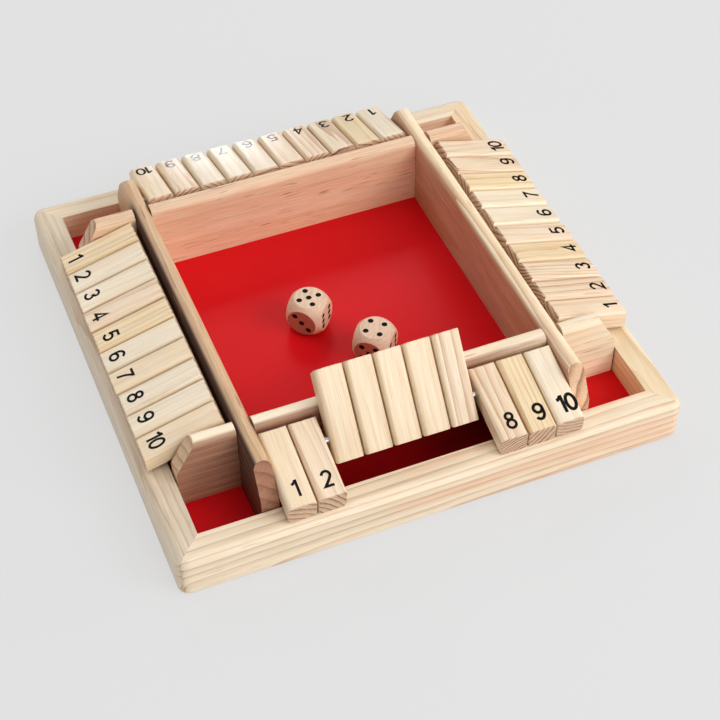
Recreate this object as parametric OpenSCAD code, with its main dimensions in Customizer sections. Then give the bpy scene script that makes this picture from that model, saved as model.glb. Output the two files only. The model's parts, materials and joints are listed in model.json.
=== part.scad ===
// Four-player shut the box game: a square wooden tray with a red panel, four crossing
// inner walls, four steel rods that carry ten number tiles each, and two dice.
// The origin is on the table under the middle of the tray, +Z is up and -Y is the
// side of the player whose middle tiles are flipped.

/* [Tray frame] */
// Width of a frame rail, seen from above
rail_w = 12; // [11:0.5:15]
// Height of a frame rail
rail_h = 20; // [18:0.5:23]
// Rounding along the outer top edge of a rail
rail_round = 4; // [2:0.5:5]
// Rounding of the upright outer corners
corner_r = 5; // [5:0.5:8]
// Small rounding along the outer bottom edge
foot_round = 1; // [0.5:0.25:1.5]

/* [Red panel] */
// Height of the panel's underside above the table
panel_lift = 2.3; // [1.5:0.1:4]
// Thickness of the panel
panel_t = 4; // [3:0.5:5]
// How deep the grooves in the rails are
groove_d = 4; // [3:0.5:5]
// Slack between the panel's edge and the bottom of its groove
panel_edge_slack = 0.5; // [0.2:0.1:1]
// Slack above the panel in its groove
panel_top_slack = 0.1; // [0.05:0.05:0.2]

/* [Inner walls] */
// Clear width of the square dice tray between the walls
tray = 128; // [115:1:141]
// Clear depth of the trough between a wall and the frame
trough = 26.6; // [24:0.1:30]
// Thickness of an inner wall
wall_t = 7.4; // [7:0.1:9]
// Height of the wall tops above the table
wall_top = 40; // [38.5:0.5:41]
// Rounding along both top edges of a wall
wall_round = 3.2; // [2:0.1:3.4]
// Gap between a wall's end and the frame
wall_end_gap = 0.6; // [0.4:0.1:1]
// Length of the slope at each end of a wall
slope_run = 8.5; // [6:0.5:11]
// Drop of that slope
slope_drop = 15; // [8:0.5:17]
// Slack on each side where two walls cross in a half lap
lap_slack = 0.15; // [0.1:0.05:0.3]

/* [Rods] */
// Diameter of a pivot rod
rod_d = 3; // [2.5:0.1:3.5]
// Height of a rod's axis above the table
rod_z = 31.8; // [31:0.1:32.4]
// Clearance between a wall and a tile's tail as it swings past
tail_clear = 0.13; // [0.1:0.01:0.5]
// Depth of the blind hole that holds each end of a rod
rod_seat = 4.2; // [3:0.1:5]
// Radial slack of a rod end in its hole
rod_slack = 0.05; // [0.02:0.01:0.1]
// Gap between a rod's end and the bottom of its hole
rod_end_gap = 0.2; // [0.1:0.1:0.5]
// Bevel on each end of a rod
rod_bevel = 0.3; // [0.1:0.1:0.5]

/* [Number tiles] */
// Distance from the rod to a tile's free, numbered end
tile_reach = 28.2; // [27:0.1:29]
// Distance from the rod to a tile's tail
tile_tail = 9.6; // [8:0.1:10.6]
// Thickness of a tile
tile_t = 9.4; // [8.4:0.1:10.4]
// Gap between neighbouring tiles
tile_gap = 0.6; // [0.3:0.05:0.7]
// Gap between the last tile of the spread front row and the wall
tile_end_gap = 0.2; // [0.2:0.05:0.5]
// Extra gap on each side of the flipped group of tiles
group_gap = 1.4; // [0:0.1:1.5]
// Gap between neighbouring tiles in the three rows without a flipped group
loose_gap = 0.7; // [0.6:0.05:0.8]
// How far the right row has slid along its rod towards tile 10
right_slip = 0.2; // [-0.4:0.1:0.4]
// How far the back row has slid along its rod towards tile 10
back_slip = -0.4; // [-0.4:0.1:0.4]
// How far the left row has slid along its rod towards tile 10
left_slip = -0.6; // [-0.6:0.1:0.4]
// Rounding along a tile's four long edges
tile_round = 2; // [0.8:0.1:2.4]
// Rounding along the top edge of a tile's tail
tail_round = 1.3; // [0.8:0.1:2]
// Small rounding of all other edges of a tile's ends
tile_ease = 0.35; // [0.2:0.05:0.6]
// Radial slack of the rod in a tile's bore
bore_slack = 0.08; // [0.05:0.01:0.1]
// Gap that a resting tile keeps from the rail or the wall
rest_gap = 0.1; // [0.05:0.05:0.2]
// First flipped tile of the front row
flip_from = 3; // [1:1:5]
// Last flipped tile of the front row
flip_to = 7; // [6:1:10]

/* [Dice] */
// Size of a die across its faces
die = 16.5; // [15:0.5:18]
// Radius of the ball that rounds a die's corners, as a share of its size
die_ball = 0.69; // [0.66:0.01:0.76]
// Spacing of the outer pips from the middle of a face, as a share of the die's size
pip_step = 0.22; // [0.2:0.01:0.24]
// Width of a pip
pip_d = 2.5; // [2:0.1:3]
// Depth of a pip
pip_depth = 0.5; // [0.3:0.1:0.7]
// Place of the first die, to the right of the middle
die_1_x = -12.8; // [-40:0.2:40]
// Place of the first die, away from the front player
die_1_y = 3.8; // [-4:0.2:40]
// Turn of the first die on the table
die_1_turn = -45; // [-90:1:90]
// Place of the second die, to the right of the middle
die_2_x = 7; // [6:0.2:40]
// Place of the second die, away from the front player
die_2_y = -24; // [-40:0.2:-22]
// Turn of the second die on the table
die_2_turn = -42; // [-90:1:90]

/* [Hidden] */
// Fine enough for the preview; round shapes stay true in the exact build
$fn = 48;
ROW_NAMES = ["front", "right", "back", "left"];
COUNT = 10;
// Room left around a cutting shape so that it passes right through
past = 1;

panel_z = panel_lift + panel_t;
wall_inner = tray / 2;
wall_mid = wall_inner + wall_t / 2;
wall_outer = wall_inner + wall_t;
inner = wall_outer + trough;
half = inner + rail_w;
side = 2 * half;
wall_end = inner - wall_end_gap;
wall_h = wall_top - panel_z;
lap_z = panel_z + wall_h / 2;
// The rod stands off the wall by the circle that a tile's tail sweeps
tail_top_sweep = norm([tile_tail - tail_round, tile_t / 2 - tail_round]) + tail_round;
tail_low_sweep = norm([tile_tail - tile_ease, tile_t / 2 - tile_ease]) + tile_ease;
rod_off = max(tail_top_sweep, tail_low_sweep) + tail_clear;
rod_v = wall_outer + rod_off;
bore_r = rod_d / 2 + bore_slack;
seat_r = rod_d / 2 + rod_slack;

// The front row fills its rod; all forty tiles are as wide as that row leaves room for
row_half = wall_inner - tile_end_gap;
tile_w = (2 * row_half - 2 * group_gap - (COUNT - 1) * tile_gap) / COUNT;
tile_pitch = tile_w + tile_gap;
loose_pitch = tile_w + loose_gap;
tile_l = tile_reach + tile_tail;
SLIPS = [0, right_slip, back_slip, left_slip];

// Slope of a tile that lies outward. It rests on the rail in one of three ways: with its
// underside on the rounded edge, with the corner of its free end on that edge, or with
// that corner on the flat top.
corner_arm = norm([tile_reach - tile_ease, tile_t / 2 - tile_ease]);
corner_turn = atan2(tile_t / 2 - tile_ease, tile_reach - tile_ease);
round_x = half - rail_round - rod_v;
round_drop = rod_z - rail_h + rail_round;
round_arm = norm([round_x, round_drop]);
round_turn = atan2(round_drop, round_x);
face_turn = asin((tile_t / 2 + rail_round + rest_gap) / round_arm);
face_run = round_arm * cos(face_turn);
corner_gap = rail_round + tile_ease + rest_gap;
arms = 2 * round_arm * corner_arm;
edge_turn = acos((round_arm ^ 2 + corner_arm ^ 2 - corner_gap ^ 2) / arms);
flat_turn = asin((rod_z - rail_h - rest_gap - tile_ease) / corner_arm);
face_on_round = tile_reach - tile_ease > face_run;
corner_on_round = corner_arm * cos(flat_turn) > round_x;
corner_slope = (corner_on_round ? round_turn - edge_turn : flat_turn) - corner_turn;
out_slope = face_on_round ? round_turn - face_turn : corner_slope;
// Slope of a flipped tile that leans on the rounded top edge of the wall
edge_x = rod_off + wall_round;
edge_z = wall_top - wall_round - rod_z;
lean = tile_t / 2 + wall_round + rest_gap;
in_slope = asin(lean / norm([edge_x, edge_z])) + atan2(edge_z, edge_x);

function tile_name(row, n) = str(ROW_NAMES[row], "_tile_", n);
function is_flipped(row, n) = row == 0 && n >= flip_from && n <= flip_to;
// Sideways place of tile n in its row
function tile_u(row, n) =
    row > 0
        ? (n - (COUNT + 1) / 2) * loose_pitch + SLIPS[row]
        : (n - (COUNT + 1) / 2) * tile_pitch
            + (n < flip_from ? -group_gap : 0)
            + (n > flip_to ? group_gap : 0);

// A rectangle with all four corners rounded, centred
module rounded_rectangle(w, h, r) {
    square([w - 2 * r, h], center = true);
    square([w, h - 2 * r], center = true);
    for (x = [-1, 1])
        for (y = [-1, 1])
            translate([x * (w / 2 - r), y * (h / 2 - r)])
                circle(r);
}

// Cross-section of a rail: outer face at 0, inner face at rail_w, rounded on the outside
module rail_section(depth) {
    translate([0, foot_round])
        square([depth, rail_h - rail_round - foot_round]);
    translate([rail_round, rail_h - rail_round])
        square([depth - rail_round, rail_round]);
    translate([foot_round, 0])
        square([depth - foot_round, foot_round]);
    intersection() {
        translate([rail_round, rail_h - rail_round])
            circle(rail_round);
        translate([0, rail_h - rail_round])
            square(rail_round);
    }
    intersection() {
        translate([foot_round, foot_round])
            circle(foot_round);
        square(foot_round);
    }
}

// The front rail; the other three are turned copies
module front_rail() {
    straight = 2 * (half - corner_r);
    difference() {
        intersection() {
            union() {
                // straight run between the rounded corners
                translate([-straight / 2, -half, 0])
                    rotate([90, 0, 90])
                        linear_extrude(straight)
                            rail_section(rail_w);
                // rounded upright corners, cut from the same section
                for (s = [-1, 1])
                    translate([s * (half - corner_r), -half + corner_r, 0])
                        rotate([0, 0, s > 0 ? 270 : 180])
                            rotate_extrude(angle = 90)
                                translate([corner_r, 0])
                                    mirror([1, 0])
                                        rail_section(corner_r);
            }
            // mitred ends at 45 degrees
            translate([0, 0, -past])
                linear_extrude(rail_h + 2 * past)
                    polygon([[0, 0], [-half - past, -half - past], [half + past, -half - past]]);
        }
        // groove for the panel's edge
        translate([-half, -inner - groove_d, panel_lift])
            cube([side, groove_d + past, panel_t + panel_top_slack]);
    }
}

module rail(row) {
    color("burlywood")
        rotate([0, 0, 90 * row])
            front_rail();
}

// Red panel, held in the grooves of all four rails
module base_panel() {
    reach = inner + groove_d - panel_edge_slack;
    color("firebrick")
        translate([-reach, -reach, panel_lift])
            cube([2 * reach, 2 * reach, panel_t]);
}

// Cross-section of a wall with both top edges rounded
module wall_section() {
    translate([-wall_t / 2, panel_z])
        square([wall_t, wall_h - wall_round]);
    translate([-wall_t / 2 + wall_round, panel_z])
        square([wall_t - 2 * wall_round, wall_h]);
    for (s = [-1, 1])
        translate([s * (wall_t / 2 - wall_round), wall_top - wall_round])
            circle(wall_round);
}

// Outline of a wall seen from its side, with a slope at each end
module wall_outline() {
    polygon([
        [-wall_end, panel_z],
        [wall_end, panel_z],
        [wall_end, wall_top - slope_drop],
        [wall_end - slope_run, wall_top],
        [-wall_end + slope_run, wall_top],
        [-wall_end, wall_top - slope_drop]
    ]);
}

// A wall along Y at x = 0, before its laps and holes are cut
module wall_blank() {
    intersection() {
        translate([0, wall_end, 0])
            rotate([90, 0, 0])
                linear_extrude(2 * wall_end)
                    wall_section();
        translate([-wall_t, 0, 0])
            rotate([90, 0, 90])
                linear_extrude(2 * wall_t)
                    wall_outline();
    }
}

// Half laps at both crossings, open at the top or at the bottom
module lap_cuts(open_at_top) {
    w = wall_t + 2 * lap_slack;
    z = open_at_top ? lap_z : panel_z - past;
    h = wall_h / 2 + past;
    for (s = [-1, 1])
        translate([-wall_t, s * wall_mid - w / 2, z])
            cube([2 * wall_t, w, h]);
}

// Blind holes for the rods of the two neighbouring rows, open towards +X
module rod_seats() {
    for (s = [-1, 1])
        translate([wall_t / 2 - rod_seat, s * rod_v, rod_z])
            rotate([0, 90, 0])
                cylinder(h = rod_seat + past, r = seat_r);
}

// Wall beside the row: 0 front, 1 right, 2 back, 3 left
module wall(row) {
    side_wall = row == 1 || row == 3;
    color("tan")
        rotate([0, 0, 90 * (row - 3)])
            translate([-wall_mid, 0, 0])
                difference() {
                    wall_blank();
                    lap_cuts(open_at_top = !side_wall);
                    rod_seats();
                }
}

// Steel rod of a row, its ends seated in the two walls that cross the row
module rod(row) {
    length = tray + 2 * (rod_seat - rod_end_gap);
    color("silver")
        rotate([0, 0, 90 * row])
            translate([-length / 2, -rod_v, rod_z])
                rotate([0, 90, 0])
                    rotate_extrude()
                        polygon([
                            [0, 0],
                            [rod_d / 2 - rod_bevel, 0],
                            [rod_d / 2, rod_bevel],
                            [rod_d / 2, length - rod_bevel],
                            [rod_d / 2 - rod_bevel, length],
                            [0, length]
                        ]);
}

// Outline of a tile seen from its side: crisp but for the rounded top edge of the tail
module tile_side() {
    difference() {
        rounded_rectangle(tile_l, tile_t, tile_ease);
        translate([tile_l / 2 - tail_round, tile_t / 2 - tail_round])
            difference() {
                square(tail_round + past);
                circle(tail_round);
            }
    }
}

// A tile with its bore along X at the origin, free end towards -Y, number side up
module tile_block() {
    difference() {
        translate([0, tile_tail - tile_l / 2, 0])
            intersection() {
                // the four long edges
                translate([0, tile_l / 2, 0])
                    rotate([90, 0, 0])
                        linear_extrude(tile_l)
                            rounded_rectangle(tile_w, tile_t, tile_round);
                // the corners seen from above
                translate([0, 0, -tile_t / 2])
                    linear_extrude(tile_t)
                        rounded_rectangle(tile_w, tile_l, tile_ease);
                // the ends seen from the side
                translate([-tile_w / 2, 0, 0])
                    rotate([90, 0, 90])
                        linear_extrude(tile_w)
                            tile_side();
            }
        translate([-tile_w / 2 - past, 0, 0])
            rotate([0, 90, 0])
                cylinder(h = tile_w + 2 * past, r = bore_r);
    }
}

module tile(row, n) {
    slope = is_flipped(row, n) ? in_slope - 180 : out_slope;
    color("wheat")
        rotate([0, 0, 90 * row])
            translate([tile_u(row, n), -rod_v, rod_z])
                rotate([slope, 0, 0])
                    tile_block();
}

// Places of the pips of one face, in steps from its middle
function pips(n) = concat(
    n % 2 == 1 ? [[0, 0]] : [],
    n > 1 ? [[-1, 1], [1, -1]] : [],
    n > 3 ? [[1, 1], [-1, -1]] : [],
    n == 6 ? [[-1, 0], [1, 0]] : []
);

// Shallow dimples of one face, cut into the top of a die centred at the origin
module face_pips(n) {
    ball = (pip_d * pip_d / 4 + pip_depth * pip_depth) / (2 * pip_depth);
    for (p = pips(n))
        translate([p[0] * pip_step * die, p[1] * pip_step * die, die / 2 + ball - pip_depth])
            sphere(ball);
}

// Die at x, y, turned on the table; faces are top, front, right, and their opposites
module die_cube(x, y, turn, top, front, right) {
    color("peachpuff")
        translate([x, y, panel_z + die / 2])
            rotate([0, 0, turn])
                difference() {
                    intersection() {
                        cube(die, center = true);
                        sphere(die_ball * die);
                    }
                    face_pips(top);
                    rotate([180, 0, 0])
                        face_pips(7 - top);
                    rotate([90, 0, 0])
                        face_pips(front);
                    rotate([-90, 0, 0])
                        face_pips(7 - front);
                    rotate([90, 0, 90])
                        face_pips(right);
                    rotate([90, 0, -90])
                        face_pips(7 - right);
                }
}

module die_five() {
    die_cube(die_1_x, die_1_y, die_1_turn, top = 5, front = 3, right = 6);
}

module die_four() {
    die_cube(die_2_x, die_2_y, die_2_turn, top = 4, front = 5, right = 6);
}

base_panel();
for (row = [0:3]) {
    rail(row);
    wall(row);
    rod(row);
    for (n = [1:COUNT])
        tile(row, n);
}
die_five();
die_four();
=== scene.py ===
# %% [markdown]
# A four-player shut the box game: a pine tray with a glossy red panel, four rows of
# number tiles on steel rods, and two wooden dice. The solids come from the CAD frame.
# This script gives them their finishes, saws the tiles' free ends to their slant, turns
# rounder dice, prints the numbers, and sets up the floor, the lights and the camera.

# %% Load the frame
import json
import math
import random
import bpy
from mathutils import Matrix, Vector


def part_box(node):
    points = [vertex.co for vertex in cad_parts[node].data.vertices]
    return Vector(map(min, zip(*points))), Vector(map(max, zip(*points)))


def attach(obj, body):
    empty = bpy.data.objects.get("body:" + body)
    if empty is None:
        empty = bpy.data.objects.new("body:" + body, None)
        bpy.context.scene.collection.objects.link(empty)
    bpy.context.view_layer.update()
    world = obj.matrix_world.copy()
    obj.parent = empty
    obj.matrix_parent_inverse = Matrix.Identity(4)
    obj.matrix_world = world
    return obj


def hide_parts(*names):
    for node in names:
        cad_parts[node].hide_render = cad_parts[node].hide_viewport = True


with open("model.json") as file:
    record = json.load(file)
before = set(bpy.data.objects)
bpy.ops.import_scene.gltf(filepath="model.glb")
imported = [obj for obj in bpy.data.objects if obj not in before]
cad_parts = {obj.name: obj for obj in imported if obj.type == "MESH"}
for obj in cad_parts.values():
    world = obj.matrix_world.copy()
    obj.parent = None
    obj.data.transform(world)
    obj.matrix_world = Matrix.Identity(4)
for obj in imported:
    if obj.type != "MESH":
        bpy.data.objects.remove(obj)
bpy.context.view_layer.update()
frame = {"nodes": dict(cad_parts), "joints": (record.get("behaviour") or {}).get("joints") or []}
from types import SimpleNamespace
import bmesh
import bpy
from mathutils import Euler, Matrix, Vector
from mathutils.geometry import delaunay_2d_cdt
nodes = frame["nodes"]
print(len(nodes), "solids in the frame")

# %% [markdown]
# Colours are written as they look on a screen, from 0 to 255, because that is how
# a maker reads them off a sample. The renderer works with linear light, so one small
# function turns the one into the other.

# %% Colours


def shade(red, green, blue):
    """A colour read off a sample, as linear light."""
    seen = [level / 255 for level in (red, green, blue)]
    linear = [s / 12.92 if s <= 0.04045 else ((s + 0.055) / 1.055) ** 2.4 for s in seen]
    return (*linear, 1.0)


PINE = shade(240, 221, 190)
print("pale pine in linear light:", [round(level, 3) for level in PINE[:3]])

# %% [markdown]
# Materials are written like sums. A `Wire` stands for the output of a shader node, and
# adding or multiplying two of them adds a Math node. Wiring each node by hand would
# take three lines for every sign, and the sum could no longer be read.

# %% Wires that can be added and multiplied


class Wire:
    """The output of a shader node, with arithmetic that adds Math nodes."""

    def __init__(self, finish, socket):
        self.finish = finish
        self.socket = socket

    def work_out(self, operation, *values):
        return self.finish.add("ShaderNodeMath", {"operation": operation}, dict(enumerate(values)))

    def __add__(self, other):
        return self.work_out("ADD", self, other)

    def __radd__(self, other):
        return self.work_out("ADD", other, self)

    def __sub__(self, other):
        return self.work_out("SUBTRACT", self, other)

    def __rsub__(self, other):
        return self.work_out("SUBTRACT", other, self)

    def __mul__(self, other):
        return self.work_out("MULTIPLY", self, other)

    def __truediv__(self, other):
        return self.work_out("DIVIDE", self, other)

    def __pow__(self, other):
        return self.work_out("POWER", self, other)

    def fraction(self):
        return self.work_out("FRACT", self)

    def root(self):
        return self.work_out("SQRT", self)

    def size(self):
        return self.work_out("ABSOLUTE", self)

    def between(self, low, high):
        """0 at low, 1 at high, with a smooth step from one to the other; low may be the larger."""
        return self.finish.add("ShaderNodeMapRange", {"interpolation_type": "SMOOTHSTEP"},
                               {"Value": self, "From Min": low, "From Max": high})


print("a wire knows + - * / and **")

# %% [markdown]
# `Finish.add` makes every other kind of node: first its settings, then the values or
# wires that go into its sockets. A few helpers stand for nodes that are used often.

# %% A material, node by node


class Finish:
    """A material that is built up node by node around one shader."""

    def __init__(self, name):
        self.material = bpy.data.materials.new(name)
        self.material.use_nodes = True
        self.tree = self.material.node_tree
        self.tree.nodes.clear()

    def add(self, kind, settings=None, sockets=None, out=0):
        """One node; the wire that comes back is its output called out."""
        node = self.tree.nodes.new(kind)
        for key, value in (settings or {}).items():
            setattr(node, key, value)
        for key, value in (sockets or {}).items():
            if isinstance(value, Wire):
                self.tree.links.new(value.socket, node.inputs[key])
            else:
                node.inputs[key].default_value = value
        return Wire(self, node.outputs[out])

    def add_many(self, kind, sockets, *outs):
        """One node of which several outputs are used, as a list of wires."""
        node = self.add(kind, {}, sockets).socket.node
        return [Wire(self, node.outputs[out]) for out in outs]

    def blend(self, amount, first, second, how="MIX"):
        """Two colours mixed; these sockets of a Mix node share their names, so they go by number."""
        return self.add("ShaderNodeMix", {"data_type": "RGBA", "blend_type": how},
                        {0: amount, 6: first, 7: second}, out=2)

    def noise(self, where, stretch, shift, scale, detail):
        """Soft noise, stretched along the axes of where."""
        moved = self.add("ShaderNodeVectorMath", {"operation": "MULTIPLY_ADD"},
                         {0: where, 1: stretch, 2: shift})
        return self.add("ShaderNodeTexNoise", {},
                        {"Vector": moved, "Scale": scale, "Detail": detail})

    def close(self, shader):
        """The finished material, with its shader on the surface."""
        end = self.tree.nodes.new("ShaderNodeOutputMaterial")
        self.tree.links.new(shader.socket, end.inputs["Surface"])
        return self.material


print("a finish is made with Finish(name), add and close")

# %% [markdown]
# Pine is a bundle of thin cones: each year adds a pale band that darkens slowly and
# stops sharply. A board is a cut through that bundle, so the same rings make long
# lines on its faces and arcs on its ends. The finish therefore works in the board's
# own space, in millimetres, with Y along the grain, and measures the distance from a
# pith that lies outside the board. Drawing lines on each face would be simpler, but
# they wouldn't meet at the edges.

# %% Rings of a stem
MILLIMETRE = 0.001
# a stem sways off a straight line, by so many mm, as a noise with this stretch, scale and detail
LONG_SWAY, LONG_NOISE = 8, (0.10, 0.05, 2.0)
SHORT_SWAY, SHORT_NOISE = 1.4, (0.05, 0.35, 2.0)
UPRIGHT_DRIFT = 0.6


def year_rings(f, noise, where, look):
    """How far a point lies through its year's band, from 0 to 1, and how far along the grain."""
    x, y, z = f.add_many("ShaderNodeSeparateXYZ", {0: where}, 0, 1, 2)
    long_way = noise(*LONG_NOISE) - 0.5
    short_way = noise(*SHORT_NOISE) - 0.5
    across = x - look.pith[0] + y * look.drift + long_way * LONG_SWAY
    deep = z - look.pith[1] + y * look.drift * UPRIGHT_DRIFT + short_way * SHORT_SWAY
    rings = (across * across + deep * deep).root() / look.ring
    return rings.fraction(), y


def turned_to(f, turn, direction):
    """1 where the surface faces a direction of the board's own space, and -1 where it faces away."""
    aim = Matrix.LocRotScale(None, Euler(turn), None) @ Vector(direction)
    facing = f.add("ShaderNodeTexCoord", out="Normal")
    return f.add("ShaderNodeVectorMath", {"operation": "DOT_PRODUCT"}, {0: facing, 1: aim[:]},
                 out="Value")


print("a stem sways by", LONG_SWAY, "mm")

# %% [markdown]
# A board's colour is built in layers, from the wood's own tone up: slow patches, a warm blush of
# heartwood, painted shade on a face that lies in deep shade, the darker end grain, the year's lines, the
# short dashes of resin canals, and fibres. The layers come from noise that is drawn out along the grain.
# Each noise is written as its stretch, scale and detail, and a pair of levels says where it starts and is
# full.

# %% Layers of the wood's tone
PATCHES, PATCH_LEVELS = (0.08, 0.16, 1.0), (0.3, 0.72)
STREAKS, STREAK_LEVELS = (0.05, 0.10, 1.0), (0.50, 0.64)
PATCH_COVER = 0.5
PATCH_SHADE = 0.82
BLUSH = shade(238, 176, 136)
# how squarely a face has to be turned inward or outward to take its painted shade
INWARD_LEVELS = (0.5, 0.98)
OUTWARD_LEVELS = (0.25, 0.8)


def layered_tone(f, noise, along, turn, look):
    """The wood's colour below its lines, with any painted shade, and the noise of its patches."""
    darker = tuple(level * PATCH_SHADE for level in look.tone[:3]) + (1.0,)
    patchy = noise(*PATCHES)
    base = f.blend(patchy.between(*PATCH_LEVELS) * PATCH_COVER, look.tone, darker)
    if look.blush:
        streak = noise(*STREAKS).between(*STREAK_LEVELS)
        reach = along.between(*look.blush_span) if look.blush_span else 1.0
        base = f.blend(streak * reach * look.blush, base, BLUSH)
    # painted shade on a face that is turned inward
    if look.inner_stain:
        amount, colour = look.inner_stain
        inward = turned_to(f, turn, (-1, 0, 0))
        base = f.blend(inward.between(*INWARD_LEVELS) * amount, base, colour)
    # painted shade on a face that is turned outward, along its span
    if look.outer_stain:
        amount, colour = look.outer_stain
        outward = turned_to(f, turn, (1, 0, 0))
        reach = along.between(*look.stain_span) if look.stain_span else 1.0
        base = f.blend(outward.between(*OUTWARD_LEVELS) * amount * reach, base, colour)
    return base, patchy


print("a patch is", PATCH_SHADE, "times as light as the wood")

# %% [markdown]
# Every board starts from one plain look and passes only what sets it apart, so a
# row of boards can be read as a list of differences. Lengths are in mm.

# %% The plain look
PLAIN = dict(
    # the colour between the lines
    tone=PINE,
    # the colour and strength of a year's line, and the width of a year
    line=shade(212, 172, 126), strength=0.55, ring=2.8,
    # where the pith lies, seen from the end, and how far it drifts per mm
    pith=(16.0, -30.0), drift=0.03,
    # the end grain, its lines, and how squarely the saw has to cut to lay it bare
    end=shade(214, 178, 144), end_line=shade(138, 92, 62), endwise=(0.45, 0.85),
    # resin dashes, warm blush, and where along the grain the blush starts and is full
    flecks=0.25, blush=0.0, blush_span=None,
    # strength and colour of painted shade on the inner or outer face, and the outer one's span
    inner_stain=None, outer_stain=None, stain_span=None,
    # the coat of lacquer
    gloss=0.15)
print(len(PLAIN), "things can differ from board to board")

# %% [markdown]
# The finish is put together here. The boards are sanded and lacquered, so the bump is
# at most about a tenth of a millimetre deep: it shows where a lamp glances off them.

# %% Pine
FIBRES, FIBRE_LEVELS = (0.022, 2.6, 4.0), (0.25, 0.75)
CLUMPS, CLUMP_LEVELS = (0.3, 0.10, 1.0), (0.36, 0.6)
DASHES, DASH_LEVELS = (0.07, 0.95, 1.0), (0.64, 0.73)
RESIN = shade(146, 94, 66)
END_COVER = 0.85
FIBRE_COVER = 0.22
# a high power keeps a year pale until its last stretch
LATE_WOOD = 3.0
# how strongly a year's line shows: at least, more in a patch, and more on the end grain
LINE_LEAST, LINE_IN_PATCH, LINE_ON_END = 0.45, 1.1, 0.6
# how high the fibres and the late wood stand, and how deep the dashes lie
FIBRE_HIGH, LATE_HIGH, DASH_DEEP = 0.5, 0.35, 0.4
# how rough the lacquer is: at least, more on a fibre, and more on the end grain
ROUGH_LEAST, ROUGH_ON_FIBRE, ROUGH_ON_END = 0.44, 0.14, 0.2
# no two boards are cut from the same place of the noise
FAR = 90


def pine(name, place, turn, seed, **differences):
    """place and turn say where the board's own space lies in the frame, in metres and radians."""
    look = SimpleNamespace(**(PLAIN | differences))
    rng = random.Random(seed)
    f = Finish(name)
    shift = tuple(rng.uniform(-FAR, FAR) for _ in range(3))
    spot = f.add("ShaderNodeTexCoord", out="Object")
    where = f.add("ShaderNodeMapping", {"vector_type": "TEXTURE"},
                  {"Vector": spot, "Location": place, "Rotation": turn, "Scale": (MILLIMETRE,) * 3})

    def noise(stretch, scale, detail):
        return f.noise(where, (1, stretch, 1), shift, scale, detail)

    year, along = year_rings(f, noise, where, look)
    late = year ** LATE_WOOD
    fibre = noise(*FIBRES)
    clump = noise(*CLUMPS).between(*CLUMP_LEVELS)
    fleck = noise(*DASHES).between(*DASH_LEVELS) * clump
    end_on = turned_to(f, turn, (0, 1, 0)).size().between(*look.endwise)
    base, patchy = layered_tone(f, noise, along, turn, look)
    base = f.blend(end_on * END_COVER, base, look.end)
    depth = (LINE_LEAST + patchy * LINE_IN_PATCH) * (look.strength + end_on * LINE_ON_END)
    lines = f.blend(late * depth, base, f.blend(end_on, look.line, look.end_line))
    lines = f.blend(fleck * look.flecks, lines, RESIN)
    threads = f.add("ShaderNodeValToRGB", {}, {0: fibre.between(*FIBRE_LEVELS)})
    grain = f.blend(FIBRE_COVER, lines, threads, "OVERLAY")
    height = fibre * FIBRE_HIGH + late * LATE_HIGH - fleck * DASH_DEEP
    bump = f.add("ShaderNodeBump", {}, {"Strength": 0.35, "Distance": 0.00012, "Height": height})
    roughness = ROUGH_LEAST + fibre * ROUGH_ON_FIBRE + end_on * ROUGH_ON_END
    return f.close(f.add("ShaderNodeBsdfPrincipled", {}, {
        "Base Color": grain, "Roughness": roughness, "Normal": bump, "IOR": 1.45,
        "Coat Weight": look.gloss, "Coat Roughness": 0.2}))


def wear(node, material):
    """A CAD solid keeps its shape and gets a finish."""
    node.data.materials.clear()
    node.data.materials.append(material)


print("a plain board's lines show by", LINE_LEAST * PLAIN["strength"], "at least")

# %% [markdown]
# Each rail and each wall is its own strip of wood, so each gets its own pith, ring
# width and tone. The front rail is the boldest board of the photo, with wide dark
# lines and warm streaks on its right half.

# %% Looks of the rails
RAIL_LOOKS = {
    "front": dict(tone=shade(248, 229, 201), line=shade(202, 158, 114), ring=3.1, pith=(26, -20),
                  drift=0.05, strength=0.7, blush=0.45, blush_span=(-35, 0)),
    "right": dict(tone=shade(240, 217, 180), ring=3.6, pith=(-22, -26), drift=0.045, strength=0.65,
                  blush=0.2),
    "back": dict(tone=shade(240, 220, 190), ring=3.0, pith=(18, -34), drift=0.02, strength=0.5),
    "left": dict(tone=shade(232, 214, 188), line=shade(196, 162, 126), ring=2.4, pith=(-30, -22),
                 drift=0.015, strength=0.6),
}
print(len(RAIL_LOOKS), "rails")

# %% [markdown]
# The back wall is a pinker board than the rest, and the left wall a darker one. The colours laid on some
# inner and outer faces are not in the wood: they are painted shade, for deep shade that soft lamps don't
# give, and on the right wall's inner face also painted red bounce light from the panel. A painter of
# models does the same with a dark wash.

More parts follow.
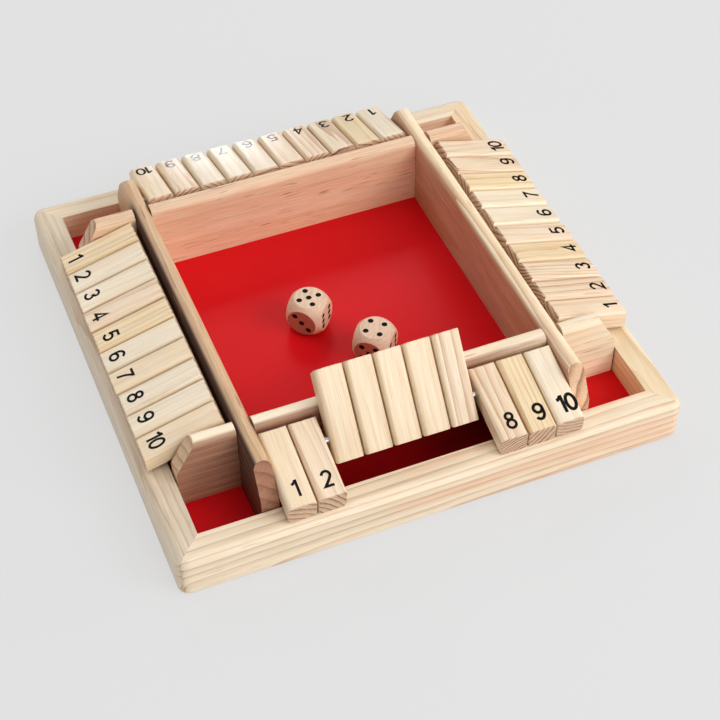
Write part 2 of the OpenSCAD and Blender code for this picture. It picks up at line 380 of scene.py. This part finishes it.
# %% Looks of the walls
# the colours laid on the inner and outer faces are painted shade; on the right wall's inner face also
# painted red bounce light
WALL_LOOKS = {
    "front": dict(tone=shade(254, 238, 208), end_line=shade(176, 126, 94), ring=4.2, pith=(9, -60),
                  drift=0.02, strength=0.4, flecks=0.4, blush=0.1,
                  outer_stain=(0.85, shade(138, 72, 44)), stain_span=(90, 20)),
    "right": dict(tone=shade(253, 232, 196), line=shade(188, 132, 90), end=shade(222, 178, 142),
                  end_line=shade(176, 126, 94), ring=5.4, pith=(30, -12), drift=0.03, strength=0.75,
                  flecks=0.4, inner_stain=(0.66, shade(150, 66, 32)),
                  outer_stain=(0.1, shade(134, 80, 54))),
    "back": dict(tone=shade(238, 201, 168), ring=5.0, pith=(24, -20), drift=0.02, strength=0.35,
                 flecks=0.7, blush=0.25),
    "left": dict(tone=shade(214, 178, 140), line=shade(168, 122, 86), end=shade(160, 104, 78),
                 end_line=shade(140, 90, 66), ring=4.4, pith=(24, -30), drift=0.02, strength=0.5,
                 flecks=0.6, outer_stain=(1.0, shade(58, 30, 22)), stain_span=(-78, -68)),
}
print(len(WALL_LOOKS), "walls")

# %% [markdown]
# The boards keep their CAD shapes and only get their finish. The grain runs along
# each side of the square, so each board's own space is turned a quarter further.

# %% Rails and walls
SIDES = ["front", "right", "back", "left"]
QUARTER = math.pi / 2
BOARDS = {"rail": (RAIL_LOOKS, 10), "wall": (WALL_LOOKS, 20)}
for i, side in enumerate(SIDES):
    along_the_side = (0, 0, QUARTER * (i - 1))
    for part, (looks, first_seed) in BOARDS.items():
        low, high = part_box(f"{side}_{part}")
        middle = (low + high) / 2
        wood = pine(f"pine_{side}_{part}", middle[:], along_the_side, first_seed + i, **looks[side])
        wear(nodes[f"{side}_{part}"], wood)
print(len(SIDES) * len(BOARDS), "boards are finished")

# %% [markdown]
# The forty tiles were cut from many strips, so no two match. Some are nearly plain,
# some have strong lines, and their tone runs from cream to light honey. One letter
# for each tile says which kind of strip it came from.

# %% Looks of the tiles
# from tile 1 to 10: c cream, p pale, h honey, k pinkish, l fine strong lines, s a few dark streaks
ROW_LOOKS = {"front": "ckccccslhp", "right": "kllhkpphlk", "back": "phslkppplc", "left": "hppkhpcppc"}
LOOKS = {
    "c": dict(tone=shade(242, 218, 184), ring=2.6, strength=0.28, flecks=0.0),
    "p": dict(tone=shade(246, 229, 202), ring=2.0, strength=0.34, flecks=0.1),
    "h": dict(tone=shade(241, 216, 175), line=shade(206, 158, 100), ring=2.2, strength=0.55,
              flecks=0.1),
    "k": dict(tone=shade(244, 220, 190), line=shade(208, 164, 124), ring=2.4, strength=0.5,
              flecks=0.15, blush=0.14),
    "l": dict(tone=shade(243, 219, 188), line=shade(204, 154, 112), ring=1.5, strength=0.8,
              flecks=0.25),
    "s": dict(tone=shade(243, 220, 188), line=shade(190, 142, 106), ring=3.4, strength=0.75,
              flecks=0.1, blush=0.1),
}
DARK_ENDS = dict(end=shade(209, 169, 136), end_line=shade(116, 68, 44))
# the flipped tiles' ends are painted pale, a painted highlight where they face the lamps; the outward
# tiles keep the darker end grain
LIT_ENDS_PAINTED = dict(end=shade(240, 218, 186), end_line=shade(200, 158, 120))
TILE_GLOSS = 0.5
print(len(LOOKS), "kinds of strip")

# %% [markdown]
# The free end of each tile is sawn at a slant, so that it stands nearly upright when
# the tile lies outward. The CAD tiles have square ends, and a CAD mesh isn't changed
# here, so each tile is replaced by a copy of its own mesh that is cut through by a
# plane. A tile's own space starts on its rod, with its free end towards -Y. The cut is
# capped with a slightly smaller face, and the rim around it is pulled back, which
# eases the sharp edge. A bevel would do the same, but it left a dark corner.

# %% Saw off a tile's free end
TILE_TOP = 0.0047
# how far from the rod the free end is sawn off, on the lower face and on the numbered one
CUT_OUTWARD = (0.0271, 0.0253)
CUT_FLIPPED = (0.0294, 0.0269)
# the flipped tiles are a little longer than their solids, from this far off the rod
LONGER = 0.0016
BEYOND_THE_BORE = 0.02
SAW_STRAY = 0.0003
EASED_EDGE = 0.0003
SHARP_EDGE = math.radians(20)
# points that are nearer than this are one point, in whatever unit they have
TINY = 1e-6


def sawn_tile(node, place, turn, low, top, longer):
    """A copy of a tile's solid whose free end is sawn off from low to top."""
    bm = bmesh.new()
    bm.from_mesh(node.data)
    to_frame = Matrix.LocRotScale(place, Euler(turn), None)
    bm.transform(to_frame.inverted())
    bmesh.ops.remove_doubles(bm, verts=bm.verts, dist=TINY)
    for v in bm.verts:
        if v.co.y < -BEYOND_THE_BORE:
            v.co.y -= longer
    whole = bm.verts[:] + bm.edges[:] + bm.faces[:]
    saw = bmesh.ops.bisect_plane(bm, geom=whole, plane_co=(0, -low, -TILE_TOP),
                                 plane_no=(0, -2 * TILE_TOP, low - top), clear_outer=True)
    rim = [edge for edge in saw["geom_cut"] if isinstance(edge, bmesh.types.BMEdge)]
    cap = bmesh.ops.edgeloop_fill(bm, edges=rim)["faces"]
    outline = [v for face in cap for v in face.verts]
    bmesh.ops.inset_individual(bm, faces=cap, thickness=EASED_EDGE)
    for v in outline:
        v.co.y += EASED_EDGE
    bmesh.ops.recalc_face_normals(bm, faces=bm.faces)
    bm.transform(to_frame)
    mesh = bpy.data.meshes.new(node.name)
    bm.to_mesh(mesh)
    bm.free()
    mesh.shade_smooth()
    mesh.set_sharp_from_angle(angle=SHARP_EDGE)
    return mesh


print("outward tiles are sawn at", CUT_OUTWARD, "and flipped ones at", CUT_FLIPPED)

# %% [markdown]
# The joints of the frame say where each tile's rod is. An outward tile rests sloping
# down on the rail, and a flipped one leans on the wall; their slopes are those of the
# CAD. The rings run in the tile's own space, so the grain follows the slope.

# %% Tiles
OUT_SLOPE = math.radians(15.58)
IN_SLOPE = math.radians(52.57 - 180)
# where a strip's pith may lie, in mm, and how far it may drift per mm
PITH_ACROSS = 26
PITH_DEEP = (14, 34)
MOST_DRIFT = 0.05
TILE_SEEDS = 100
tiles = {}
strip_rng = random.Random(4)
saw_rng = random.Random(9)
for joint in frame["joints"]:
    if "_tile_" not in joint["child"]:
        continue
    name, rod = joint["child"], joint["pos_m"]
    side, _, number = name.split("_")
    flipped = joint["range_deg"][0] < 0
    turn = (IN_SLOPE if flipped else OUT_SLOPE, 0, QUARTER * SIDES.index(side))
    tiles[name] = (side, int(number), Vector(rod), turn)
    pith = (strip_rng.uniform(-PITH_ACROSS, PITH_ACROSS),
            strip_rng.choice([-1, 1]) * strip_rng.uniform(*PITH_DEEP))
    low, top = CUT_FLIPPED if flipped else CUT_OUTWARD
    top += saw_rng.uniform(-SAW_STRAY, SAW_STRAY)
    mesh = sawn_tile(nodes[name], rod, turn, low, top, LONGER if flipped else 0.0)
    # a flipped tile's end grain is painted pale, as a painted highlight
    looks = LOOKS[ROW_LOOKS[side][int(number) - 1]] | (LIT_ENDS_PAINTED if flipped else DARK_ENDS)
    drift = strip_rng.uniform(-MOST_DRIFT, MOST_DRIFT)
    wood = pine(f"pine_{name}", rod, turn, TILE_SEEDS + len(tiles), pith=pith, drift=drift,
                gloss=TILE_GLOSS, **looks)
    mesh.materials.clear()
    mesh.materials.append(wood)
    piece = bpy.data.objects.new(f"{name}_sawn", mesh)
    bpy.context.scene.collection.objects.link(piece)
    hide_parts(name)
    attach(piece, name)
print(len(tiles), "tiles are finished")

# %% [markdown]
# The numbers are printed in a plain, even stroke. A text object would bring its
# font's own shapes, with a foot under the 1, so each figure is drawn here as one or
# two strokes of a constant width, on a field 0.62 wide and 1 high.

# %% Strokes of the figures
FIELD_WIDTH = 0.62


def bow(cx, cy, rx, ry, start, stop, steps=28):
    """Points on part of an oval, by angle in degrees."""
    turns = [math.radians(start + (stop - start) * k / steps) for k in range(steps + 1)]
    return [(cx + rx * math.cos(t), cy + ry * math.sin(t)) for t in turns]


def bend(a, b, c, steps=10):
    """Points on a curve from a to c that is pulled towards b."""
    shares = [k / steps for k in range(steps + 1)]
    return [tuple((1 - t) ** 2 * p + 2 * t * (1 - t) * q + t * t * r for p, q, r in zip(a, b, c))
            for t in shares]


six = [bow(0.315, 0.31, 0.235, 0.245, 0, 360), bow(0.34, 0.57, 0.26, 0.365, 38, 180) + [(0.08, 0.31)]]
FIGURES = {
    0: [bow(0.31, 0.5, 0.24, 0.435, 0, 360)],
    1: [[(0.40, 0.0), (0.40, 1.0)], bend((0.38, 0.95), (0.31, 0.81), (0.13, 0.745))],
    2: [bow(0.31, 0.705, 0.23, 0.23, 172, -28)
        + bend((0.51, 0.595), (0.42, 0.43), (0.085, 0.065)) + [(0.58, 0.065)]],
    3: [bow(0.30, 0.735, 0.205, 0.2, 165, -90) + bow(0.30, 0.30, 0.235, 0.235, 90, -165)],
    4: [[(0.43, 0.0), (0.43, 0.93), (0.07, 0.29), (0.62, 0.29)]],
    5: [[(0.56, 0.935), (0.17, 0.935), (0.115, 0.50)] + bow(0.31, 0.325, 0.24, 0.26, 140, -158)],
    6: six,
    7: [[(0.05, 0.935), (0.56, 0.935)] + bend((0.55, 0.90), (0.29, 0.55), (0.23, 0.0))],
    8: [bow(0.31, 0.745, 0.195, 0.19, 0, 360), bow(0.31, 0.295, 0.235, 0.235, 0, 360)],
    9: [[(FIELD_WIDTH - px, 1 - py) for px, py in stroke] for stroke in six],
}
print("figures", sorted(FIGURES))

# %% [markdown]
# Each stroke becomes a flat ribbon that will lie just above the wood. Its two edges
# run beside the stroke's points, and at a corner they are mitred like the rails, so
# that the line keeps its width. In a 10 the two figures stand close together.

# %% Ribbons along the strokes
PAIR = (-0.285, 0.225)
LONGEST_MITRE = 0.4


def ribbon(points, width):
    """Left and right edge of a stroke, with its corners mitred."""
    closed = math.dist(points[0], points[-1]) < TINY
    line = points[:-1] if closed else points
    edges = []
    for k, here in enumerate(line):
        before = line[k - 1] if closed or k else None
        after = line[(k + 1) % len(line)] if closed or k + 1 < len(line) else None
        sides = []
        for a, b in ((before, here), (here, after)):
            if a and b:
                d = Vector((b[0] - a[0], b[1] - a[1])).normalized()
                sides.append(Vector((-d.y, d.x)))
        mean = sum(sides, Vector((0, 0))).normalized()
        reach = width / 2 / max(mean.dot(sides[0]), LONGEST_MITRE)
        edges.append((Vector(here) + mean * reach, Vector(here) - mean * reach))
    if closed:
        edges.append(edges[0])
    return edges


def figure_mesh(name, number, height, stroke):
    """One printed number as a flat mesh around the origin."""
    digits = [int(c) for c in str(number)]
    verts, faces = [], []
    for digit, left in zip(digits, PAIR if len(digits) == 2 else (0.0,)):
        for points in FIGURES[digit]:
            edges = ribbon(points, stroke)
            start = len(verts)
            for edge in edges:
                verts += [((left + p.x - FIELD_WIDTH / 2) * height, (p.y - 0.5) * height, 0.0)
                          for p in edge]
            corners = [start + 2 * k for k in range(len(edges) - 1)]
            faces += [(c, c + 1, c + 3, c + 2) for c in corners]
    mesh = bpy.data.meshes.new(name)
    mesh.from_pydata(verts, [], faces)
    return mesh


print("an 8 has", sum(len(points) for points in FIGURES[8]), "points")

# %% [markdown]
# Printing ink lies in the pores of the wood, so it is matt black with a trace of the
# grain in its gloss. Five numbers of the back row lie under the glare of the window:
# the photo hides them almost wholly, so their ink has a glossier coat than the rest.

# %% Ink


def ink(name, gloss):
    """Matt black with small grey specks, under a coat that is as strong as gloss."""
    f = Finish(name)
    where = f.add("ShaderNodeTexCoord", out="Object")
    speckle = f.add("ShaderNodeTexNoise", {}, {"Vector": where, "Scale": 1500.0, "Detail": 3.0})
    colour = f.blend(speckle.between(0.45, 0.8) * 0.5, shade(7, 5, 4), shade(26, 20, 16))
    return f.close(f.add("ShaderNodeBsdfPrincipled", {}, {
        "Base Color": colour, "Roughness": 0.5 + speckle * 0.2, "Specular IOR Level": 0.12,
        "Coat Weight": gloss, "Coat Roughness": 0.2}))


FAINT_COAT = 0.12
STRONG_COAT = 0.9
INK = ink("black_ink", FAINT_COAT)
GLARING_INK = ink("varnished_ink", STRONG_COAT)
IN_THE_GLARE = {("back", number) for number in range(5, 10)}
print("inks:", INK.name, "and", GLARING_INK.name)

# %% [markdown]
# The numbers were stamped by hand, so each is a little off the middle of its tile. The strays are set from
# the photo, in tenths of a millimetre. The left row's stamp also slipped towards the rod on some tiles,
# and three numbers of the front row are larger than the rest, two of them bolder too.

# %% Numbers
FIGURE_HEIGHT = 0.0073
STROKE = 0.158
ABOVE_THE_WOOD = 0.00003
TENTHS_IN_A_METRE = 10000
# how far from the rod a row's numbers are printed, towards the tiles' free ends
FROM_THE_ROD = {"front": -0.0175, "right": -0.0194, "back": -0.0201, "left": -0.0190}
STRAYS = {"front": [0, 3, 0, 0, 0, 0, 0, 11, 13, 12], "right": [-5, -6, 3, 0, -3, -1, 4, 1, 5, -4],
          "back": [-8, -10, -12, -8, -4, -3, -2, -1, 0, -2], "left": [0, -7, -5, 2, 8, 2, -7, -3, -5, 0]}
LEFT_SLIPS = {3: 4, 5: 10, 8: 4, 9: 10, 10: 10}
# how many times as large, and how wide the stroke is
LARGE_IN_FRONT = {8: (1.04, 0.158), 9: (1.06, 0.172), 10: (1.10, 0.18)}
for name, (side, number, rod, turn) in tiles.items():
    larger, stroke = 1, STROKE
    if side == "front":
        larger, stroke = LARGE_IN_FRONT.get(number, (larger, stroke))
    slip = LEFT_SLIPS.get(number, 0) if side == "left" else 0
    mesh = figure_mesh(f"{name}_number", number, FIGURE_HEIGHT * larger, stroke)
    mesh.materials.append(GLARING_INK if (side, number) in IN_THE_GLARE else INK)
    figure = bpy.data.objects.new(f"{name}_number", mesh)
    bpy.context.scene.collection.objects.link(figure)
    stamped = Matrix.Translation((STRAYS[side][number - 1] / TENTHS_IN_A_METRE,
                                  FROM_THE_ROD[side] + slip / TENTHS_IN_A_METRE,
                                  TILE_TOP + ABOVE_THE_WOOD))
    figure.matrix_world = Matrix.LocRotScale(rod, Euler(turn), None) @ stamped
    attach(figure, name)
print(len(tiles), "numbers are printed")

# %% [markdown]
# The panel is thin board with a hard red lacquer that softly mirrors the dice and the
# walls. A faint waviness keeps the reflections from looking machine made. Little
# light reaches it below the front row's raised tiles, so it is painted darker there.

# %% Red panel
# in metres: the shade starts and is full this far to the front, and fades this far to each side
TROUGH_FRONT = (0.070, 0.075)
TROUGH_ENDS = (0.064, 0.074)
TROUGH_SHADE = 0.6


def red_lacquer():
    f = Finish("red_lacquer")
    where = f.add("ShaderNodeTexCoord", out="Object")
    cloud = f.add("ShaderNodeTexNoise", {}, {"Vector": where, "Scale": 14.0, "Detail": 2.0})
    wave = f.add("ShaderNodeTexNoise", {}, {"Vector": where, "Scale": 60.0, "Detail": 2.0})
    colour = f.blend(cloud.between(0.3, 0.7), shade(220, 20, 28), shade(212, 15, 22))
    x, y = f.add_many("ShaderNodeSeparateXYZ", {0: where}, 0, 1)
    trough = (y * -1).between(*TROUGH_FRONT) * (1 - x.size().between(*TROUGH_ENDS))
    colour = f.blend(trough * TROUGH_SHADE, colour, shade(96, 2, 6))
    bump = f.add("ShaderNodeBump", {}, {"Strength": 0.15, "Distance": 0.0002, "Height": wave})
    return f.close(f.add("ShaderNodeBsdfPrincipled", {}, {
        "Base Color": colour, "Roughness": 0.27 + cloud * 0.06, "Specular IOR Level": 0.12,
        "Normal": bump}))


wear(nodes["base_panel"], red_lacquer())
print("the panel is lacquered")

# %% [markdown]
# The rods are drawn steel wire: bright, with very fine marks along their length from
# the die that they were pulled through. The marks are noise that is drawn out along
# the rod, which is enough for a wire this thin.

# %% Steel rods
LENGTHWAYS = 20
CROSSWAYS = 1500


def drawn_steel(name, along_x):
    f = Finish(name)
    where = f.add("ShaderNodeTexCoord", out="Object")
    stretch = (LENGTHWAYS, CROSSWAYS, CROSSWAYS) if along_x else (CROSSWAYS, LENGTHWAYS, CROSSWAYS)
    marks = f.noise(where, stretch, (0, 0, 0), 1.0, 3.0)
    colour = f.blend(marks, shade(176, 176, 178), shade(214, 214, 216))
    return f.close(f.add("ShaderNodeBsdfPrincipled", {}, {
        "Base Color": colour, "Metallic": 1.0, "Roughness": 0.2 + marks * 0.16}))


for i, side in enumerate(SIDES):
    wear(nodes[f"{side}_rod"], drawn_steel(f"drawn_steel_{side}", i % 2 == 0))
print(len(SIDES), "rods are finished")

# %% [markdown]
# A wooden die is a cube whose corners were turned off by a ball, with a shallow bowl
# drilled and painted for each pip. The photo's dice are rounder than the CAD solids,
# so they are replaced here by meshes of their own. Cutting balls out of a solid with a
# Boolean often leaves ragged rims. Each face is instead built from the middle out,
# from a flat disk with round holes to the rings of the ball, and then turned to the
# six sides of the cube. Lengths are in mm.

# %% Sizes of a die
DIE = 16.5
BALL = 0.64 * DIE
# the radius of the eased rim around each flat disk
EASE = 0.6
# rings in the eased rim and from there to the seam, and points in a ring
EASE_STEPS = 4
SEAM_STEPS = 6
ROUND = 96
PIP_STEP = 3.15
PIP_RADIUS = 1.25
PIP_DEPTH = 0.5
PIP_ROUND = 24
# the rings of a bowl, as shares of its radius
BOWL_RINGS = (1, 0.8, 0.55, 0.3)
CORNERS = [(-1, 1), (1, -1), (1, 1), (-1, -1)]
PIPS = {1: [(0, 0)], 2: CORNERS[:2], 3: [(0, 0)] + CORNERS[:2], 4: CORNERS,
        5: [(0, 0)] + CORNERS, 6: CORNERS + [(-1, 0), (1, 0)]}
# how the six faces are turned: up, down, front, back, and the two sides
FACES = [Euler((0, 0, 0)), Euler((math.pi, 0, 0)), Euler((QUARTER, 0, 0)), Euler((-QUARTER, 0, 0)),
         Euler((QUARTER, 0, QUARTER)), Euler((QUARTER, 0, -QUARTER))]
print("a die has", sum(len(spots) for spots in PIPS.values()), "pips")

# %% [markdown]
# Three shapes make a face. The flat disk is cut into triangles around its pips by a
# Delaunay mesh. Each bowl is a stack of ever smaller rings. The ball's share of the
# face runs from the eased rim of the disk to the seam with the next face, which lies
# where the two are equally near.

# %% Parts of a die's face


def circle(radius, height, count, cx=0.0, cy=0.0):
    turns = [math.tau * k / count for k in range(count)]
    return [Vector((cx + radius * math.cos(t), cy + radius * math.sin(t), height)) for t in turns]


def skin(bm, rings, slot, aim):
    """Faces between rings of points; a last ring of a single point closes them."""
    rows = [[bm.verts.new(aim @ p) for p in ring] for ring in rings]
    for a, b in zip(rows, rows[1:]):
        for k in range(len(a)):
            n = (k + 1) % len(a)
            corners = [a[k], a[n], b[0]] if len(b) == 1 else [a[k], a[n], b[n], b[k]]
            bm.faces.new(corners).material_index = slot


def flat_disk(bm, radius, height, spots, aim):
    """A flat disk with a round hole at each spot."""
    loops = [circle(radius, height, ROUND)] + [circle(PIP_RADIUS, height, PIP_ROUND, *s) for s in spots]
    corners = [p.to_2d() for loop in loops for p in loop]
    starts = [sum(len(loop) for loop in loops[:k]) for k in range(len(loops))]
    outlines = [list(range(start, start + len(loop))) for start, loop in zip(starts, loops)]
    inside_only = 1
    points, _, triangles, *_ = delaunay_2d_cdt(corners, [], outlines, inside_only, TINY)
    disk = [bm.verts.new(aim @ Vector((*p, height))) for p in points]
    for triangle in triangles:
        middle = sum((points[k] for k in triangle), Vector((0, 0))) / 3
        if all((middle - Vector(spot)).length > PIP_RADIUS for spot in spots):
            bm.faces.new([disk[k] for k in triangle])


def bowl_rings(spot, height):
    """The rings of a pip's bowl, down to its lowest point."""
    ball = (PIP_RADIUS ** 2 + PIP_DEPTH ** 2) / (2 * PIP_DEPTH)
    rings = []
    for share in BOWL_RINGS:
        radius = PIP_RADIUS * share
        depth = height + ball - PIP_DEPTH - math.sqrt(ball ** 2 - radius ** 2)
        rings.append(circle(radius, depth, PIP_ROUND, *spot))
    return rings + [[Vector((*spot, height - PIP_DEPTH))]]


def ball_rings(flat, half):
    """The rings from the disk's eased rim, over the ball, to the seams with the next faces."""
    lean = math.atan2(flat, half - EASE)
    eased = [lean * k / EASE_STEPS for k in range(EASE_STEPS + 1)]
    rings = [circle(flat + EASE * math.sin(a), half - EASE + EASE * math.cos(a), ROUND) for a in eased]
    for step in range(1, SEAM_STEPS + 1):
        ring = []
        for k in range(ROUND):
            t = math.tau * k / ROUND
            seam = math.atan(1 / max(abs(math.cos(t)), abs(math.sin(t))))
            a = lean + (seam - lean) * step / SEAM_STEPS
            ring.append(BALL * Vector((math.sin(a) * math.cos(t), math.sin(a) * math.sin(t), math.cos(a))))
        rings.append(ring)
    return rings


print("the ball is", round(2 * BALL, 2), "mm across")

# %% [markdown]
# The six faces are joined at their seams. The flat parts and the bowls keep a sharp
# rim, and everything else is shaded as one round surface.

# %% A whole die
SEAM_WELD = 0.001
FLAT_ENOUGH = 0.99999
WOOD_SLOT, PAINT_SLOT = 0, 1


def die_mesh(name, counts):
    """A cube whose corners are turned off by a ball, with a painted bowl for each pip."""
    half = DIE / 2
    flat = math.sqrt((BALL - EASE) ** 2 - (half - EASE) ** 2)
    bm = bmesh.new()
    for count, face in zip(counts, FACES):
        aim = face.to_matrix()
        spots = [(px * PIP_STEP, py * PIP_STEP) for px, py in PIPS[count]]
        flat_disk(bm, flat, half, spots, aim)
        for spot in spots:
            skin(bm, bowl_rings(spot, half), PAINT_SLOT, aim)
        skin(bm, ball_rings(flat, half), WOOD_SLOT, aim)
    bmesh.ops.remove_doubles(bm, verts=bm.verts, dist=SEAM_WELD)
    bmesh.ops.recalc_face_normals(bm, faces=bm.faces)
    for face in bm.faces:
        face.smooth = True
        face.tag = max(abs(c) for c in face.normal) > FLAT_ENOUGH
    for edge in bm.edges:
        kinds = {(face.tag, face.material_index) for face in edge.link_faces}
        edge.smooth = len(kinds) == 1
    bm.transform(Matrix.Scale(MILLIMETRE, 4))
    mesh = bpy.data.meshes.new(name)
    bm.to_mesh(mesh)
    bm.free()
    return mesh


print("seams are welded within", SEAM_WELD, "mm")

# %% [markdown]
# The dice are a pinkish, close-grained wood. The darker sides are end grain, which drinks in more of the
# lacquer; their colour is also darkened and reddened as painted shade and painted red bounce light from
# the panel. Both dice lie flat on the panel, turned about their upright axis by the angle that the photo
# shows, and the first of the six counts is the number on top.

# %% Dice
# the end colours are end grain, darkened and reddened further by painted shade and painted red bounce
# light
DIE_LOOKS = dict(tone=shade(236, 202, 174), line=shade(190, 140, 108), ring=1.1, pith=(20, -30),
                 strength=0.22, flecks=0.1, end=shade(184, 104, 86), end_line=shade(150, 80, 64),
                 endwise=(0.86, 0.93))
GRAIN_TILT = (0.15, 0.1, 0)
DIE_SEEDS = 300
PIP_PAINT = ink("pip_paint", FAINT_COAT)
DICE = {"die_five": (-45, (5, 2, 3, 4, 6, 1)), "die_four": (-42, (4, 3, 5, 2, 6, 1))}
for seed, (name, (turned, counts)) in enumerate(DICE.items(), start=DIE_SEEDS):
    low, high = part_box(name)
    middle = (low + high) / 2
    piece = bpy.data.objects.new(f"{name}_turned", die_mesh(f"{name}_turned", counts))
    piece.data.materials.append(pine(f"wood_{name}", (0, 0, 0), GRAIN_TILT, seed, **DIE_LOOKS))
    piece.data.materials.append(PIP_PAINT)
    bpy.context.scene.collection.objects.link(piece)
    piece.matrix_world = Matrix.LocRotScale(middle, Euler((0, 0, math.radians(turned))), None)
    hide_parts(name)
    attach(piece, name)
    print(name, "shows", counts[0])

# %% [markdown]
# The game stands on a pale floor that looks evenly light grey to the camera. A real
# studio sweep does this with a large lit sheet. Here the floor is a wide plain plane
# whose own glow fills in the light, but only for what the camera sees, straight or in
# a reflection: as light on the game it would wash out the shadows.

# %% Floor
FLOOR_REACH = 6
JUST_BELOW = -0.0002
FLOOR_GREY = shade(226, 226, 226)
FLOOR_GLOW = 0.75
LIT_GREY = tuple(level * (1 - FLOOR_GLOW) for level in FLOOR_GREY[:3]) + (1.0,)


def pale_floor():
    f = Finish("pale_floor")
    rays = f.add_many("ShaderNodeLightPath", {}, "Is Camera Ray", "Is Glossy Ray", "Is Transmission Ray")
    matt = f.add("ShaderNodeBsdfDiffuse", {}, {"Color": FLOOR_GREY})
    glow = f.add("ShaderNodeEmission", {}, {"Color": FLOOR_GREY, "Strength": FLOOR_GLOW})
    lit = f.add("ShaderNodeBsdfDiffuse", {}, {"Color": LIT_GREY})
    seen = f.add("ShaderNodeAddShader", {}, {0: glow, 1: lit})
    shown = rays[0] + rays[1] + rays[2]
    return f.close(f.add("ShaderNodeMixShader", {}, {0: shown, 1: matt, 2: seen}))


corners = [(sx * FLOOR_REACH, sy * FLOOR_REACH, JUST_BELOW)
           for sx, sy in ((-1, -1), (1, -1), (1, 1), (-1, 1))]
floor_mesh = bpy.data.meshes.new("floor")
floor_mesh.from_pydata(corners, [], [(0, 1, 2, 3)])
floor_mesh.materials.append(pale_floor())
floor = bpy.data.objects.new("floor", floor_mesh)
bpy.context.scene.collection.objects.link(floor)
print("the floor glows by", FLOOR_GLOW)

# %% [markdown]
# The light is a bright, even room with a window behind the game, a little to its
# right. The window sits low enough to glance off the back row, whose middle tiles
# shine white in the photo, and a wide panel above adds the soft shadows.

# %% Lights
# the colour of a lamp is linear light
WHITE = (1, 1, 1)
WINDOW_BLUE = (0.93, 0.94, 1.0)
MIDDLE = (0, 0, 0)
BACK_TILES = (-0.0186, 0.1015, 0.031)
ROOM_GREY = 0.13


def panel_light(name, place, aim, width, height, power, colour=WHITE):
    """A glowing sheet at place that faces aim; sizes in metres, power in watts."""
    data = bpy.data.lights.new(name, "AREA")
    data.shape = "RECTANGLE"
    data.size = width
    data.size_y = height
    data.energy = power
    data.color = colour
    lamp = bpy.data.objects.new(name, data)
    bpy.context.scene.collection.objects.link(lamp)
    lamp.location = place
    lamp.rotation_euler = (Vector(aim) - Vector(place)).to_track_quat("-Z", "Y").to_euler()


panel_light("ceiling", (0, 0, 1.8), MIDDLE, 1.6, 1.6, 9.8)
panel_light("key", (1.0, -0.9, 0.9), MIDDLE, 0.8, 0.8, 12.6)
panel_light("front", (0.2, -1.45, 0.8), MIDDLE, 0.8, 0.8, 8.0)
panel_light("low_left", (-1.6, -0.2, 0.3), MIDDLE, 0.5, 0.5, 3.8)
panel_light("low_right", (1.6, 0, 0.4), MIDDLE, 0.6, 0.6, 6.6)
panel_light("back_left", (-0.7, 1.0, 1.0), MIDDLE, 0.8, 0.8, 4.4)
panel_light("back", (0.4, 1.4, 0.9), MIDDLE, 0.7, 0.7, 5.5)
panel_light("window", (0.206, 1.113, 0.204), BACK_TILES, 0.12, 0.08, 0.45, WINDOW_BLUE)
world = bpy.data.worlds.new("room")
world.use_nodes = True
room = world.node_tree.nodes["Background"].inputs
room["Color"].default_value = (ROOM_GREY, ROOM_GREY, ROOM_GREY, 1)
room["Strength"].default_value = 1.0
bpy.context.scene.world = world
print(len(bpy.data.lights), "lights are on")

# %% [markdown]
# The camera stands where the photographer stood: about 75 cm away, 47 degrees up and
# 22 degrees to the left of the front. The place, the turn and the long lens were
# fitted to corners and edges of the tray, and the small shift centres the game as in
# the photo's frame.

# %% Camera
lens = bpy.data.cameras.new("camera")
lens.sensor_width = 36.0
lens.lens = 84.165
lens.shift_x = 0.0139
lens.shift_y = -0.0086
lens.clip_start = 0.01
camera = bpy.data.objects.new("camera", lens)
bpy.context.scene.collection.objects.link(camera)
camera.location = (-0.1888, -0.4872, 0.5404)
camera.rotation_euler = [math.radians(angle) for angle in (43.278, 0.299, -21.994)]
bpy.context.scene.camera = camera
bpy.context.scene.view_settings.view_transform = "Standard"
print("the camera is", round(camera.location.length, 3), "m away")
